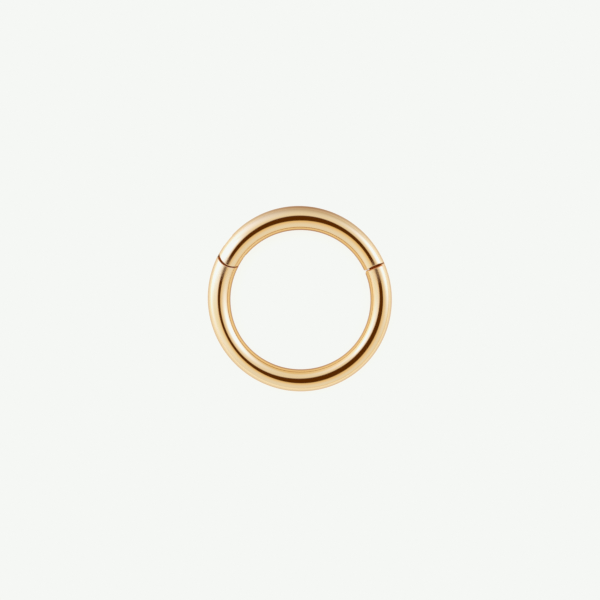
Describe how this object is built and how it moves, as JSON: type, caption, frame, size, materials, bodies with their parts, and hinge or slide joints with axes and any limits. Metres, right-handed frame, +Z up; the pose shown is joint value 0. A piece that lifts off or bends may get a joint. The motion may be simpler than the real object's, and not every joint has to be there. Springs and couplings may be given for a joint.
{
  "type": "clicker ring",
  "caption": "Round wire body-jewellery ring with a hinged segment that swings outwards on a pin and clicks shut on a tab.",
  "frame": {"origin": "middle of the ring, on the surface that it lies on", "axes": "+Z up through the ring's opening; +X to the right and +Y to the top as the ring is seen from above, with the hinge at the upper left and the clasp at the upper right"},
  "size_m": [0.0104, 0.0104, 0.0012],
  "materials": {
    "polished_gold": "mirror-polished 14 carat yellow gold"
  },
  "bodies": {
    "fixed_part": {"ring_body": "polished_gold"},
    "opening_part": {"hinged_segment": "polished_gold", "hinge_pin": "polished_gold"}
  },
  "joints": [
    {"name": "hinge", "type": "hinge", "parent": "fixed_part", "child": "opening_part", "pos_m": [-0.00375, 0.00266, 0.0006], "axis": [0, 0, 1], "range_deg": [0, 95]}
  ]
}
